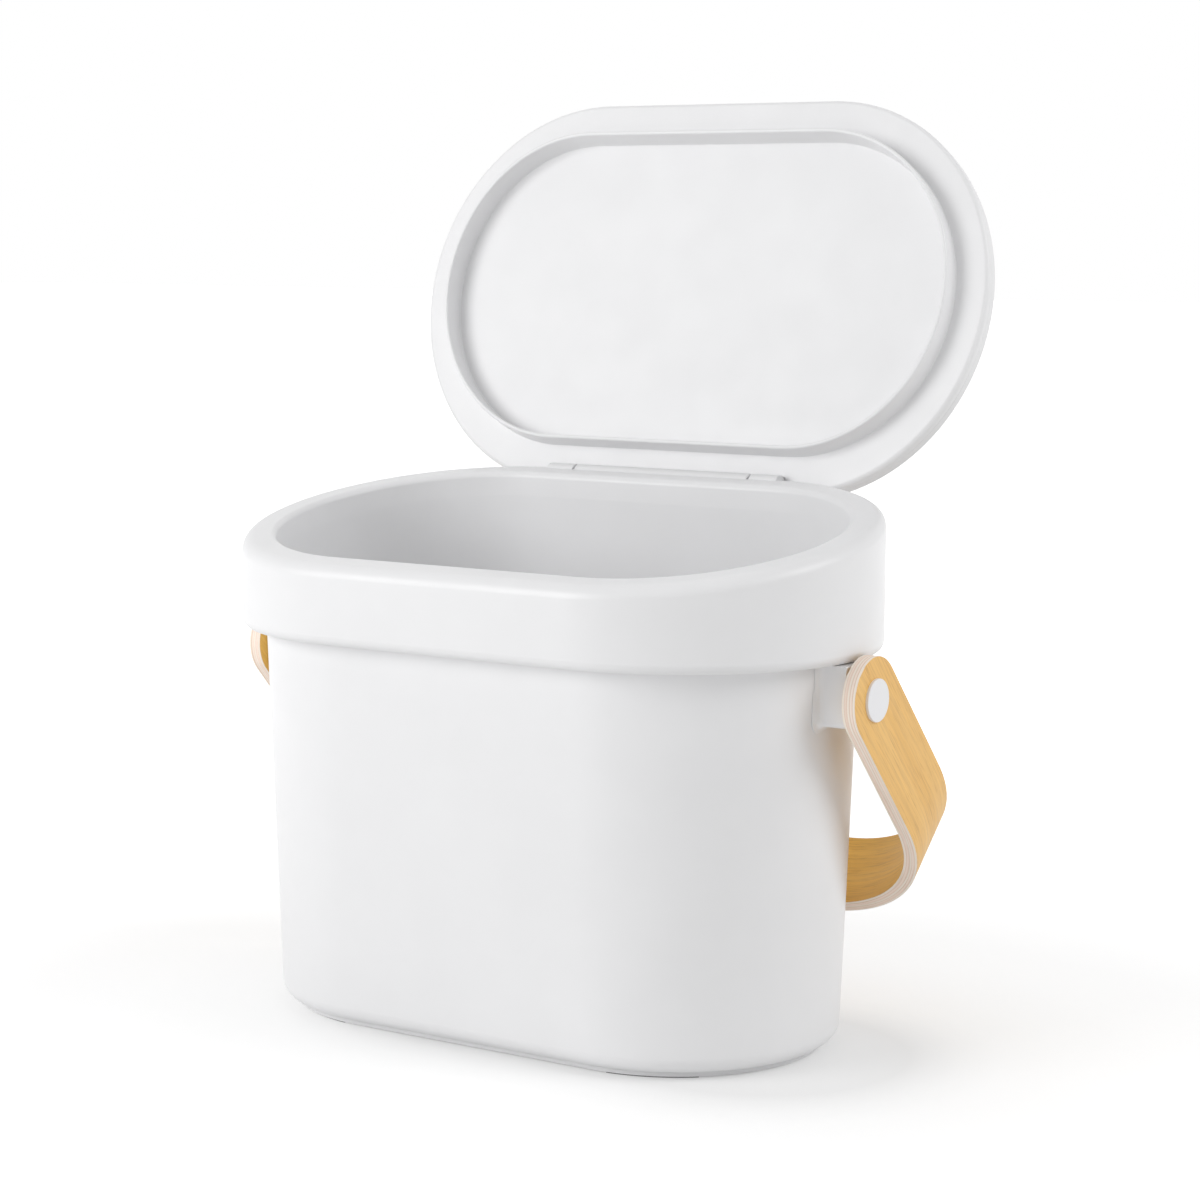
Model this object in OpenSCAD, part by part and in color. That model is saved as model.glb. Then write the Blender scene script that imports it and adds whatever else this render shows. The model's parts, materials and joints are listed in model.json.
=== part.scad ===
// Kitchen compost caddy: a stadium-shaped bucket with a deep overhanging collar,
// a lid hinged along the back edge and a bent laminated-wood bail handle.
// X runs along the length, Y towards the hinge, Z up. The origin is on the table
// under the middle of the bucket. The lid is drawn open and the handle hanging.

/* [Collar] */
// Length of the collar, end to end
collar_len = 270; // [240:1:320]
// Width of the collar, front to back
collar_wid = 158; // [140:1:180]
// Height of the collar's top above the table, half way back
collar_top = 198; // [180:1:230]
// Slope of the collar's top, which is lower at the front
top_slope = 10.2; // [6:0.1:12]
// Height of the collar's lower edge above the table
band_low = 153; // [140:1:160]
// Width of the collar's rim, from the outside to the mouth
rim_width = 13.6; // [12.6:0.1:16]
// Thickness of the collar's outer and bottom walls
collar_wall = 2.4; // [2:0.1:3]
// Thickness of the collar's top
crown_thick = 3; // [2.4:0.1:4]
// Radius of the round along the collar's top outer edge
crown_round = 5; // [4:0.5:6]
// Radius of the round along the collar's lower outer edge
band_round = 4; // [2:0.5:4.5]
// Depth of the collar's inner lip below its top
inner_lip_depth = 8; // [5:0.5:10]
// Thickness of the collar's inner lip
inner_lip_wall = 1.5; // [1.2:0.1:1.8]

/* [Bucket] */
// Distance by which the collar overhangs the bucket
overhang = 9.5; // [9:0.1:10]
// Wall thickness of the bucket
bucket_wall = 2.2; // [1.8:0.1:2.4]
// Thickness of the bucket's floor
floor_thick = 2.6; // [2:0.1:4]
// Draft of the bucket's walls
draft = 2.15; // [1:0.05:3]
// Radius of the bucket's lower edge
base_round = 7; // [5:0.5:14]
// Distance from the bucket's wall to the foot ring
foot_ring_inset = 6.5; // [4:0.5:8]
// Width of the foot ring
foot_ring_width = 6; // [5:0.5:9]
// Height of the foot ring below the bucket
foot_ring_height = 2; // [1.5:0.1:4]

/* [Feet] */
// Height of the foot ring above the table
foot_show = 0.5; // [0.4:0.1:2]
// Depth of each foot's pocket in the foot ring
foot_sunk = 0.8; // [0.5:0.1:1.4]
// Width of a foot
foot_width = 3.6; // [3:0.1:4.4]
// Angle over which a foot follows the ring
foot_span = 36; // [20:1:40]
// Direction of the middle of a foot, from the long axis
foot_mid = 66; // [45:1:70]

/* [Lid] */
// Distance from the collar's end to the lid's end
lid_end_inset = 0; // [0:0.1:2]
// Distance by which the lid overhangs the collar at the back
lid_back_over = 1.6; // [1:0.1:2]
// Distance by which the lid overhangs the collar at the front
lid_front_over = 1.2; // [0:0.1:2]
// Thickness of the lid at its edge
lid_thick = 8.9; // [8:0.1:14]
// Gap between the closed lid and the collar
lid_gap = 0.3; // [0.2:0.05:0.5]
// Radius of the round along the lid's top edge
lid_round = 3.5; // [2:0.5:5]
// Wall thickness of the lid's cover
cover_wall = 2.2; // [1.6:0.1:2.6]
// Thickness of the lid's inner panel
panel_thick = 2.2; // [1.6:0.1:2.6]
// Height of the ring that reaches down into the mouth
ring_height = 8.5; // [5:0.5:12]
// Thickness of that ring
ring_wall = 1.6; // [1.4:0.1:4]
// Gap between that ring and the mouth
ring_gap = 0.5; // [0.4:0.1:2]
// Depth by which the panel's floor is recessed inside the ring
panel_recess = 1.5; // [1:0.1:4]

/* [Hinge] */
// Distance of the hinge axis from the collar's back face
hinge_inset = 1.6; // [1.2:0.1:2]
// Depth of the hinge axis below the collar's top
hinge_drop = 2.6; // [2.4:0.1:3]
// Radius of the hinge knuckles
knuckle_r = 4; // [3.6:0.1:4.2]
// Radius of the hinge pins
hinge_pin_r = 1.5; // [1:0.1:2]
// Distance from the end of the collar's straight back edge to the hinge's end
hinge_end_inset = 0.2; // [0:0.1:6]
// Length of each ear on the collar
ear_len = 13; // [8:0.5:16]
// Length of each hinge pin inside the lid's knuckle
pin_reach = 20; // [12:1:25]
// Gap around the knuckles
knuckle_gap = 0.3; // [0.2:0.05:0.4]
// Wall of the pocket that holds the lid's knuckle
pocket_wall = 1.4; // [1:0.1:1.6]

/* [Handle] */
// Height of the handle's pivots above the table
pivot_z = 140; // [134:0.5:144]
// Width of the wooden strap
strap_width = 32.6; // [26:0.2:36]
// Thickness of one ply of the strap
ply_thick = 1.1; // [0.8:0.05:1.5]
// Distance from the pivots to the outside of the crossbar
handle_reach = 120; // [112:1:130]
// Outer radius of the strap's bends
handle_bend = 62; // [30:1:64]
// Gap between the strap and the collar's end
strap_gap = 2.1; // [1.8:0.1:4]

/* [Pivots] */
// Width of the boss that carries the strap
boss_width = 21.6; // [18:0.2:26]
// Distance from the pivot to the boss's lower face
boss_drop = 10.2; // [9:0.1:13]
// Radius of the boss's lower corners
boss_round = 2; // [1:0.5:4]
// Radius of the pivot pins
pivot_pin_r = 3; // [2:0.1:4]
// Depth of the pins in the bosses
pivot_pin_depth = 9; // [6:0.5:9.5]
// Radius of the round caps
cap_r = 8.1; // [6:0.1:10]
// Height of the round caps above the strap's face
cap_proud = 1.5; // [0.2:0.1:2]
// Radial gap around the caps, which sit in holes in the strap's outer ply
cap_gap = 0.25; // [0.15:0.05:0.5]
// Radius of the washers behind the strap
washer_r = 8; // [6:0.1:9]
// Thickness of the washers
washer_thick = 0.8; // [0.5:0.1:1]

/* [Clearances] */
// Gap between pieces that move past each other
move_gap = 0.3; // [0.2:0.05:0.4]
// Radial clearance of a pin that turns
run_gap = 0.05; // [0.02:0.01:0.08]
// Radial clearance of a pin that is pressed in
press_gap = 0.02; // [0.01:0.01:0.04]
// Gap at faces that are glued or seated
seat_gap = 0.1; // [0.05:0.05:0.2]

/* [Hidden] */
$fn = 96;
FEET = ["foot_front_right", "foot_back_right", "foot_back_left", "foot_front_left"];

// A reach well past the object, for cutting blocks
FAR = 2 * collar_len;
// A small overrun, so that cuts pass clean through a face
EPS = 1;

// Plan of the collar: a stadium with round ends
collar_r = collar_wid / 2;
straight = collar_len - collar_wid;
mouth_r = collar_r - rim_width;
inner_lip_r = mouth_r + inner_lip_wall;

// Heights of the base
ring_low = foot_show;
body_low = foot_show + foot_ring_height;
floor_top = body_low + floor_thick;

// Radius of the bucket's round ends at a height
function bucket_r(z) = collar_r - overhang - (band_low - z) * tan(draft);
base_r = bucket_r(body_low);
foot_ring_r = base_r - foot_ring_inset;

// Height of a plane parallel to the collar's top, at a distance back and above it
function plane_z(y, up) = collar_top + y * tan(top_slope) + up / cos(top_slope);

// Hinge axis, and the lengths along it: two ears with the lid's knuckle between them
hinge_y = collar_r - hinge_inset;
hinge_z = plane_z(hinge_y, -hinge_drop);
hinge_len = straight - 2 * hinge_end_inset;
pocket_len = hinge_len - 2 * ear_len;
barrel_len = pocket_len - 2 * knuckle_gap;

// Plan of the lid, and the angle at which its back edge meets the collar's back face
lid_back = collar_r + lid_back_over;
lid_shift = (lid_back_over - lid_front_over) / 2;
lid_r = collar_r + (lid_back_over + lid_front_over) / 2;
lid_straight = collar_len - 2 * lid_end_inset - 2 * lid_r;
ring_r = mouth_r - ring_gap;
edge_y = lid_back - hinge_y;
edge_z = plane_z(lid_back, lid_gap) - hinge_z;
edge_reach = norm([edge_y, edge_z]);
lid_open = atan2(edge_z, edge_y) + acos((hinge_inset + move_gap) / edge_reach);

// Strap: the plies lie side by side from the outside in
PLIES = 5;
strap_thick = PLIES * ply_thick;
strap_in = collar_len / 2 + strap_gap;
strap_out = strap_in + strap_thick;
cap_low = strap_out - ply_thick + move_gap;
boss_face = strap_in - move_gap - washer_thick;

// Angle from straight down at which the crossbar's lower edge rests on the back wall
bar_corner = norm([handle_reach - strap_thick, strap_width / 2]);
bar_lead = atan2(strap_width / 2, handle_reach - strap_thick);
rest_reach = (bucket_r(pivot_z) + move_gap) * cos(draft);
handle_hang = asin(rest_reach / bar_corner) - draft + bar_lead;

// Sweeps a profile (x = distance from the long axis, y = height) around a stadium
module around(straight_len) {
    for (side = [0, 1])
        mirror([side, 0, 0])
            translate([straight_len / 2, 0, 0])
                rotate([0, 0, -90])
                    rotate_extrude(angle = 180)
                        children();
    for (side = [0, 1])
        mirror([0, side, 0])
            translate([-straight_len / 2, 0, 0])
                rotate([90, 0, 90])
                    linear_extrude(straight_len)
                        children();
}

// An upright ring, or a plug when r_in is 0, in the plan of the collar
module upright(r_in, r_out, z_low, z_high, straight_len = straight) {
    around(straight_len)
        translate([r_in, z_low])
            square([r_out - r_in, z_high - z_low]);
}

// The space between two planes parallel to the collar's top
module slab(low, high) {
    translate([0, 0, collar_top])
        rotate([top_slope, 0, 0])
            translate([-FAR / 2, -FAR / 2, low])
                cube([FAR, FAR, high - low]);
}

// What a round of this radius takes off a square corner
module round_waste(r) {
    difference() {
        square(r + EPS);
        circle(r = r);
    }
}

// All below a plane parallel to the collar's top, with a quarter round along the upright wall.
// On the slope a round end is an ellipse, so the round one drawn here is a third larger than the
// stretch and always meets the wall.
module eased_below(up, plan_r, plan_straight, plan_shift, round_r) {
    stretch = plan_r / cos(top_slope) - plan_r;
    wide_r = plan_r + stretch + stretch / 3;
    wide_straight = plan_straight - 2 * stretch;
    lean = plan_shift / cos(top_slope) + (up - round_r) * tan(top_slope);
    translate([0, 0, collar_top])
        rotate([top_slope, 0, 0]) {
            translate([0, lean, up - round_r])
                around(wide_straight)
                    difference() {
                        translate([0, -EPS])
                            square([wide_r, round_r + EPS]);
                        translate([wide_r - round_r, 0])
                            round_waste(round_r);
                    }
            translate([-FAR / 2, -FAR / 2, up - round_r - FAR])
                cube([FAR, FAR, FAR]);
        }
}

// A cylinder on the hinge axis, centred along the length
module on_hinge(r, len) {
    translate([-len / 2, hinge_y, hinge_z])
        rotate([0, 90, 0])
            cylinder(r = r, h = len);
}

// A cylinder along X at the height of the handle's pivots
module on_pivot(r, x_low, x_high) {
    translate([x_low, 0, pivot_z])
        rotate([0, 90, 0])
            cylinder(r = r, h = x_high - x_low);
}

// Outline of the bucket's section: outer wall, rounded edge and inside of equal thickness
module bucket_section() {
    wall_high = collar_top + collar_r;
    arc_steps = 8;
    inner_round = base_round - bucket_wall;
    arc_x = base_r - base_round;
    outer_arc = [for (i = [0 : arc_steps])
        [arc_x + base_round * cos(i * 90 / arc_steps - 90),
         body_low + base_round + base_round * sin(i * 90 / arc_steps - 90)]];
    inner_arc = [for (i = [arc_steps : -1 : 0])
        [arc_x + inner_round * cos(i * 90 / arc_steps - 90),
         floor_top + inner_round + inner_round * sin(i * 90 / arc_steps - 90)]];
    polygon(concat(
        [[0, body_low]],
        outer_arc,
        [[bucket_r(wall_high), wall_high], [bucket_r(wall_high) - bucket_wall, wall_high]],
        inner_arc,
        [[0, floor_top]]));
}

// The bucket's outer form, grown by a clearance
module bucket_plug(grow) {
    around(straight)
        polygon([[0, 0], [bucket_r(0) + grow, 0],
            [bucket_r(band_low + EPS) + grow, band_low + EPS], [0, band_low + EPS]]);
}

// Pads on the foot ring: one sector of a ring around an end of the stadium
module foot_sector(index, width, z_low, z_high) {
    side_x = index == 0 || index == 1 ? 0 : 1;
    side_y = index == 1 || index == 2 ? 0 : 1;
    mid_r = foot_ring_r - foot_ring_width / 2;
    mirror([side_x, 0, 0])
        mirror([0, side_y, 0])
            translate([straight / 2, 0, 0])
                rotate([0, 0, foot_mid - foot_span / 2])
                    rotate_extrude(angle = foot_span)
                        translate([mid_r - width / 2, z_low])
                            square([width, z_high - z_low]);
}

module bucket() {
    color([0.93, 0.93, 0.92])
        difference() {
            around(straight) {
                bucket_section();
                translate([foot_ring_r - foot_ring_width, ring_low])
                    square([foot_ring_width, foot_ring_height + floor_thick / 2]);
            }
            slab(-crown_thick, FAR);
            for (index = [0 : len(FEET) - 1])
                foot_sector(index, foot_width, ring_low - EPS, ring_low + foot_sunk);
        }
}

// Section of the collar's skirt and of the shelf that closes it below
module skirt_section(shelf_r, top_high) {
    difference() {
        union() {
            translate([collar_r - collar_wall, band_low])
                square([collar_wall, top_high - band_low]);
            translate([shelf_r, band_low])
                square([collar_r - shelf_r, collar_wall]);
        }
        translate([collar_r - band_round, band_low + band_round])
            mirror([0, 1])
                round_waste(band_round);
    }
}

// Inverted channel that sits over the bucket's edge, with the hinge ears at the back
module rim_collar() {
    top_high = collar_top + collar_r;
    shelf_r = bucket_r(band_low + collar_wall) + seat_gap;
    pocket_r = knuckle_r + knuckle_gap;
    color([0.95, 0.95, 0.94])
        difference() {
            union() {
                intersection() {
                    union() {
                        around(straight)
                            skirt_section(shelf_r, top_high);
                        intersection() {
                            upright(mouth_r, collar_r, band_low, top_high);
                            slab(-crown_thick, crown_thick);
                        }
                        intersection() {
                            upright(mouth_r, inner_lip_r, band_low, top_high);
                            slab(-inner_lip_depth, crown_thick);
                        }
                        intersection() {
                            upright(collar_r - rim_width / 2, collar_r, band_low, top_high);
                            on_hinge(pocket_r + pocket_wall, hinge_len);
                        }
                    }
                    eased_below(0, collar_r, straight, 0, crown_round);
                }
                for (side = [-1, 1])
                    translate([side * (hinge_len - ear_len) / 2, 0, 0])
                        on_hinge(knuckle_r, ear_len);
            }
            on_hinge(pocket_r, pocket_len);
            on_hinge(hinge_pin_r + press_gap, hinge_len + EPS);
        }
}

module hinge_pin(side) {
    start = barrel_len / 2 - pin_reach;
    finish = barrel_len / 2 + knuckle_gap + ear_len;
    color([0.72, 0.73, 0.75])
        translate([side * (start + finish) / 2, 0, 0])
            on_hinge(hinge_pin_r, finish - start);
}

// Block under the collar's end that carries one pivot; its back follows the bucket's wall
module handle_boss(side) {
    color([0.92, 0.92, 0.91])
        mirror([side < 0 ? 1 : 0, 0, 0])
            difference() {
                translate([straight / 2, 0, 0])
                    rotate([90, 0, 90])
                        linear_extrude(boss_face - straight / 2)
                            boss_section();
                bucket_plug(seat_gap);
                on_pivot(pivot_pin_r + press_gap, boss_face - pivot_pin_depth - move_gap,
                    boss_face + EPS);
            }
}

// Side view of the boss, with rounded lower corners
module boss_section() {
    low = pivot_z - boss_drop;
    translate([-boss_width / 2, low + boss_round])
        square([boss_width, band_low - seat_gap - low - boss_round]);
    translate([boss_round - boss_width / 2, low])
        square([boss_width - 2 * boss_round, 2 * boss_round]);
    for (side = [-1, 1])
        translate([side * (boss_width / 2 - boss_round), low + boss_round])
            circle(r = boss_round);
}

module pivot_pin(side) {
    color([0.72, 0.73, 0.75])
        mirror([side < 0 ? 1 : 0, 0, 0])
            on_pivot(pivot_pin_r, boss_face - pivot_pin_depth, cap_low);
}

module pivot_cap(side) {
    color([0.93, 0.93, 0.93])
        mirror([side < 0 ? 1 : 0, 0, 0])
            on_pivot(cap_r, cap_low, strap_out + cap_proud);
}

module pivot_washer(side) {
    color([0.86, 0.86, 0.85])
        mirror([side < 0 ? 1 : 0, 0, 0])
            difference() {
                on_pivot(washer_r, boss_face, boss_face + washer_thick);
                on_pivot(pivot_pin_r + press_gap, boss_face - EPS, strap_in);
            }
}

module foot(index) {
    side_gap = 2 * seat_gap;
    color([0.2, 0.2, 0.21])
        foot_sector(index, foot_width - side_gap, 0, ring_low + foot_sunk);
}

// Turns a closed lid about the hinge into its open place
module opened() {
    translate([0, hinge_y, hinge_z])
        rotate([-lid_open, 0, 0])
            translate([0, -hinge_y, -hinge_z])
                children();
}

// A ring or plug in the plan of the lid, between two planes parallel to the collar's top
module lid_layer(r_in, r_out, low, high) {
    top_high = collar_top + collar_wid;
    intersection() {
        translate([0, lid_shift, 0])
            upright(r_in, r_out, band_low, top_high, lid_straight);
        slab(low, high);
    }
}

// A ring or plug in the plan of the mouth, between two planes parallel to the collar's top
module mouth_layer(r_in, r_out, low, high) {
    intersection() {
        upright(r_in, r_out, band_low, collar_top + collar_wid);
        slab(low, high);
    }
}

// Pockets in the lid's back edge for the collar's ears
module ear_pockets() {
    for (side = [-1, 1])
        translate([side * (pocket_len + ear_len) / 2, 0, 0])
            on_hinge(knuckle_r + knuckle_gap, ear_len + 2 * knuckle_gap);
}

// Cover of the lid: a flat top with a skirt that stands on the inner panel
module lid_shell() {
    skirt_low = lid_gap + panel_thick;
    skirt_high = lid_gap + lid_thick;
    color([0.95, 0.95, 0.94])
        opened()
            difference() {
                intersection() {
                    union() {
                        lid_layer(lid_r - cover_wall, lid_r, skirt_low, skirt_high);
                        lid_layer(0, lid_r, skirt_high - cover_wall, skirt_high);
                    }
                    eased_below(skirt_high, lid_r, lid_straight, lid_shift, lid_round);
                }
                ear_pockets();
            }
}

// Inside of the lid: flange, ring that enters the mouth, recessed floor and hinge knuckle
module lid_inner_panel() {
    flange_high = lid_gap + panel_thick;
    floor_low = lid_gap + panel_recess;
    color([0.96, 0.96, 0.96])
        opened()
            difference() {
                union() {
                    difference() {
                        lid_layer(0, lid_r, lid_gap, flange_high);
                        mouth_layer(0, ring_r - ring_wall, -ring_height, floor_low);
                    }
                    mouth_layer(ring_r - ring_wall, ring_r, lid_gap - ring_height,
                        floor_low + panel_thick);
                    mouth_layer(0, ring_r, floor_low, floor_low + panel_thick);
                    on_hinge(knuckle_r, barrel_len);
                }
                ear_pockets();
                on_hinge(hinge_pin_r + run_gap, barrel_len + EPS);
            }
}

// Turns a strap that hangs straight down back until its crossbar rests on the bucket
module hung() {
    translate([0, 0, pivot_z])
        rotate([handle_hang, 0, 0])
            children();
}

// Front view of everything inside the strap's face at a depth below its outer face
module strap_outline(depth) {
    half = strap_out - depth;
    reach = handle_reach - depth;
    bend_x = strap_out - handle_bend;
    bend_z = handle_reach - handle_bend;
    translate([-half, -bend_z])
        square([2 * half, bend_z + strap_width]);
    translate([-bend_x, -reach])
        square([2 * bend_x, reach]);
    for (side = [-1, 1])
        translate([side * bend_x, -bend_z])
            circle(r = handle_bend - depth);
}

// One ply of the strap, counted from the outside, with round ends and holes: wide ones for
// the caps in the outer ply, and narrow ones for the pins in the others
module handle_ply(index) {
    depth = index * ply_thick;
    hole_r = index == 0 ? cap_r + cap_gap : pivot_pin_r + run_gap;
    hung()
        difference() {
            intersection() {
                rotate([90, 0, 0])
                    translate([0, 0, -strap_width / 2])
                        linear_extrude(strap_width)
                            difference() {
                                strap_outline(depth);
                                strap_outline(depth + ply_thick);
                            }
                rotate([90, 0, 90])
                    translate([0, 0, -strap_out - EPS])
                        linear_extrude(2 * strap_out + 2 * EPS)
                            strap_side();
            }
            translate([-strap_out - EPS, 0, 0])
                rotate([0, 90, 0])
                    cylinder(r = hole_r, h = 2 * strap_out + 2 * EPS);
        }
}

// Side view of the strap
module strap_side() {
    circle(r = strap_width / 2);
    translate([-strap_width / 2, -handle_reach - EPS])
        square([strap_width, handle_reach + EPS]);
}

module handle_face(index) {
    color([0.86, 0.69, 0.43])
        handle_ply(index);
}

module handle_core(index) {
    color([0.9, 0.82, 0.75])
        handle_ply(index);
}

bucket();
rim_collar();
hinge_pin(-1);  // hinge_pin_left
hinge_pin(1);  // hinge_pin_right
handle_boss(-1);  // handle_boss_left
handle_boss(1);  // handle_boss_right
pivot_pin(-1);  // pivot_pin_left
pivot_pin(1);  // pivot_pin_right
pivot_cap(-1);  // pivot_cap_left
pivot_cap(1);  // pivot_cap_right
pivot_washer(-1);  // pivot_washer_left
pivot_washer(1);  // pivot_washer_right
for (index = [0 : len(FEET) - 1])
    foot(index);
lid_shell();
lid_inner_panel();
handle_face(0);  // handle_face_outer
handle_core(1);  // handle_core_1
handle_core(2);  // handle_core_2
handle_core(3);  // handle_core_3
handle_face(PLIES - 1);  // handle_face_inner
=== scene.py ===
# %% [markdown]
# # A compost caddy with a hinged lid
# The caddy is a kitchen bin for food scraps: a moulded bucket under a deep collar, a lid that
# swings up at the back, and a carrying handle bent from thin sheets of wood. The lesson shapes
# each piece with the same steps that a person takes in the window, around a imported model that
# already has the right sizes, and gives each one the finish it has on a worktop.

import json
import math

import bmesh
import bpy
from mathutils import Matrix, Vector

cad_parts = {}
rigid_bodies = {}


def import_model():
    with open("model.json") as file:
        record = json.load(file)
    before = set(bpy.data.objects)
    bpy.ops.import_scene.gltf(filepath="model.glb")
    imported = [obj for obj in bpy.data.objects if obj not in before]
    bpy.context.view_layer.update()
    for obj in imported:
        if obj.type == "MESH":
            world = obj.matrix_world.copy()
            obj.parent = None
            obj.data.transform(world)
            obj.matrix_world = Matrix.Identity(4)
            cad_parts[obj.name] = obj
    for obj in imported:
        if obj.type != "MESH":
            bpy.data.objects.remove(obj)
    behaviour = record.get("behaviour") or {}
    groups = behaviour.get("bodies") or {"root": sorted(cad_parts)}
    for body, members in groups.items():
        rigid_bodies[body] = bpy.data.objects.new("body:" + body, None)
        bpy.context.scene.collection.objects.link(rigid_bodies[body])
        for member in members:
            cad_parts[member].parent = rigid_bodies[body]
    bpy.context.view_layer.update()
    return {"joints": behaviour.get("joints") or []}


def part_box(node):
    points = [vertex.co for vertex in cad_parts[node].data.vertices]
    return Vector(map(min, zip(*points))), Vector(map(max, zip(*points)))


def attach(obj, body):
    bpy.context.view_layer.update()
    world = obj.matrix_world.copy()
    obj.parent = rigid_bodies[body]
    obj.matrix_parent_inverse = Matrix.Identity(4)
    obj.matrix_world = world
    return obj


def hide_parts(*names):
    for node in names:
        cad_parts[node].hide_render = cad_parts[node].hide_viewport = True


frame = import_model()

# %% [markdown]
# ## The sizes that everything follows
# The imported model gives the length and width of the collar, the height of its lower edge and
# the hinge. The rest are the moulder's choices, written once in millimetres. A hair is the gap
# that is left where two pieces meet. The collar's top slopes down to the front, so heights near
# it are counted from a sloping plane.

# %% Measures
MM = 0.001
joint = {entry["name"]: entry for entry in frame["joints"]}
hinge = Vector(joint["lid_hinge"]["pos_m"])
pivot = Vector(joint["handle_swing"]["pos_m"])
lid_open = math.radians(joint["lid_hinge"]["range_deg"][1])

collar_low, collar_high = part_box("rim_collar")
half_length = collar_high.x
collar_r = -collar_low.y
straight = 2 * (half_length - collar_r)
band_low = collar_low.z
collar_top = 198 * MM
slope = math.radians(10.2)
rim_width = 13.6 * MM
mouth_r = collar_r - rim_width
collar_wall = 2.4 * MM
crown_thick = 3 * MM

draft = math.radians(2.15)
overhang = 9.5 * MM
bucket_wall = 2.2 * MM
hair = 0.1 * MM


def bucket_r(z):
    """Radius of the bucket's round ends at a height: the walls lean out towards the top."""
    return collar_r - overhang - (band_low - z) * math.tan(draft)


def rise(up):
    """Height over the middle of the caddy of a plane that lies above the collar's top."""
    return collar_top + up / math.cos(slope)


print("collar", [round(v / MM, 1) for v in (2 * half_length, 2 * collar_r, straight)], "mm")

# %% [markdown]
# ## Small helpers for working by hand
# In edit mode an operator works on what is selected, so every step begins with nothing
# selected and then picks corners, edges or faces by where they are. Picking by place keeps
# working when a size changes, which picking by number doesn't.

# %% Select, edit and apply
FACING = 0.95  # a face looks one way when this much of its normal points there


def activate(piece):
    """Makes a piece the active object, and the only one that is selected."""
    bpy.ops.object.select_all(action="DESELECT")
    piece.select_set(True)
    bpy.context.view_layer.objects.active = piece


def edit(piece):
    """Opens a piece in edit mode, with nothing selected."""
    activate(piece)
    bpy.ops.object.mode_set(mode="EDIT")
    bpy.ops.mesh.select_mode(type="VERT")
    bpy.ops.mesh.select_all(action="DESELECT")


def leave():
    bpy.ops.object.mode_set(mode="OBJECT")


def pick(piece, kind, wanted):
    """Selects, in edit mode, the corners, edges or faces for which wanted(item) is true."""
    bpy.ops.mesh.select_mode(type=kind)
    bpy.ops.mesh.select_all(action="DESELECT")
    mesh = bmesh.from_edit_mesh(piece.data)
    items = {"VERT": mesh.verts, "EDGE": mesh.edges, "FACE": mesh.faces}[kind]
    for item in items:
        if wanted(item):
            item.select_set(True)
    mesh.select_flush_mode()
    bmesh.update_edit_mesh(piece.data)


def middle(edge):
    """The point halfway along an edge."""
    return (edge.verts[0].co + edge.verts[1].co) / 2


def apply_place(piece):
    """Writes the object's place, turn and scale into its mesh."""
    activate(piece)
    bpy.ops.object.transform_apply(location=True, rotation=True, scale=True)


def apply_modifier(piece, kind, **settings):
    """Adds a modifier with these settings and applies it at once."""
    activate(piece)
    bpy.ops.object.modifier_add(type=kind)
    modifier = piece.modifiers[-1]
    for name, value in settings.items():
        setattr(modifier, name, value)
    bpy.ops.object.modifier_apply(modifier=modifier.name)


def copy_of(piece, name):
    """A copy with a mesh of its own."""
    activate(piece)
    bpy.ops.object.duplicate(linked=False)
    bpy.context.object.name = name
    return bpy.context.object


# %% [markdown]
# ## A racetrack sweep
# Every moulded shell here has the plan of a running track: two half rounds and two straights.
# A subdivided box could be squeezed into that plan, but its walls would never be truly round.
# So the wall's section is traced once, corner by corner, and carried round the track: spin half
# a turn, extrude along the straight, spin again, extrude again. Rounded corners are worked out
# as arcs before the tracing, so each edge gets exactly the radius that it is given.

# %% Trace a section and sweep it round the track
ARC_STEPS = 6
TURN_STEPS = 64
MERGE = 0.01 * MM


def rounded(corners):
    """Points of a section. A corner is (out, up) or (out, up, radius), in metres."""
    points = []
    for index, corner in enumerate(corners):
        here = Vector(corner[:2])
        if len(corner) == 2:
            points.append(here)
            continue
        back = (Vector(corners[index - 1][:2]) - here).normalized()
        ahead = (Vector(corners[(index + 1) % len(corners)][:2]) - here).normalized()
        half = back.angle(ahead) / 2
        centre = here + (back + ahead).normalized() * corner[2] / math.sin(half)
        start = here + back * corner[2] / math.tan(half) - centre
        turn = math.pi - 2 * half
        if back.x * ahead.y - back.y * ahead.x > 0:
            turn = -turn
        for step in range(ARC_STEPS + 1):
            angle = turn * step / ARC_STEPS
            spun = Vector((start.x * math.cos(angle) - start.y * math.sin(angle),
                           start.x * math.sin(angle) + start.y * math.cos(angle)))
            points.append(centre + spun)
    return points


def trace(name, points):
    """Draws a section as edges in the plane X = 0, with out towards the front."""
    bpy.ops.object.select_all(action="DESELECT")
    bpy.ops.mesh.primitive_plane_add(size=MM, location=(0, -points[0].x, points[0].y))
    section = bpy.context.object
    section.name = name
    apply_place(section)
    bpy.ops.object.mode_set(mode="EDIT")
    bpy.ops.mesh.select_mode(type="VERT")
    bpy.ops.mesh.merge(type="CENTER")
    for here, there in zip(points, points[1:]):
        step = (0, here.x - there.x, there.y - here.y)
        bpy.ops.mesh.extrude_region_move(TRANSFORM_OT_translate={"value": step})
    leave()
    return section


def sweep(piece, run, shift=0.0):
    """Carries the traced section round a track whose straights are run long."""
    edit(piece)
    bpy.ops.mesh.select_all(action="SELECT")
    bpy.ops.transform.translate(value=(run / 2, shift, 0))
    for side in (1, -1):
        bpy.ops.mesh.spin(steps=TURN_STEPS, angle=math.pi, axis=(0, 0, -1),
                          center=(side * run / 2, shift, 0))
        bpy.ops.mesh.extrude_region_move(TRANSFORM_OT_translate={"value": (-side * run, 0, 0)})
    bpy.ops.mesh.select_all(action="SELECT")
    bpy.ops.mesh.remove_doubles(threshold=MERGE)
    bpy.ops.mesh.normals_make_consistent(inside=False)
    leave()
    apply_place(piece)


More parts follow.
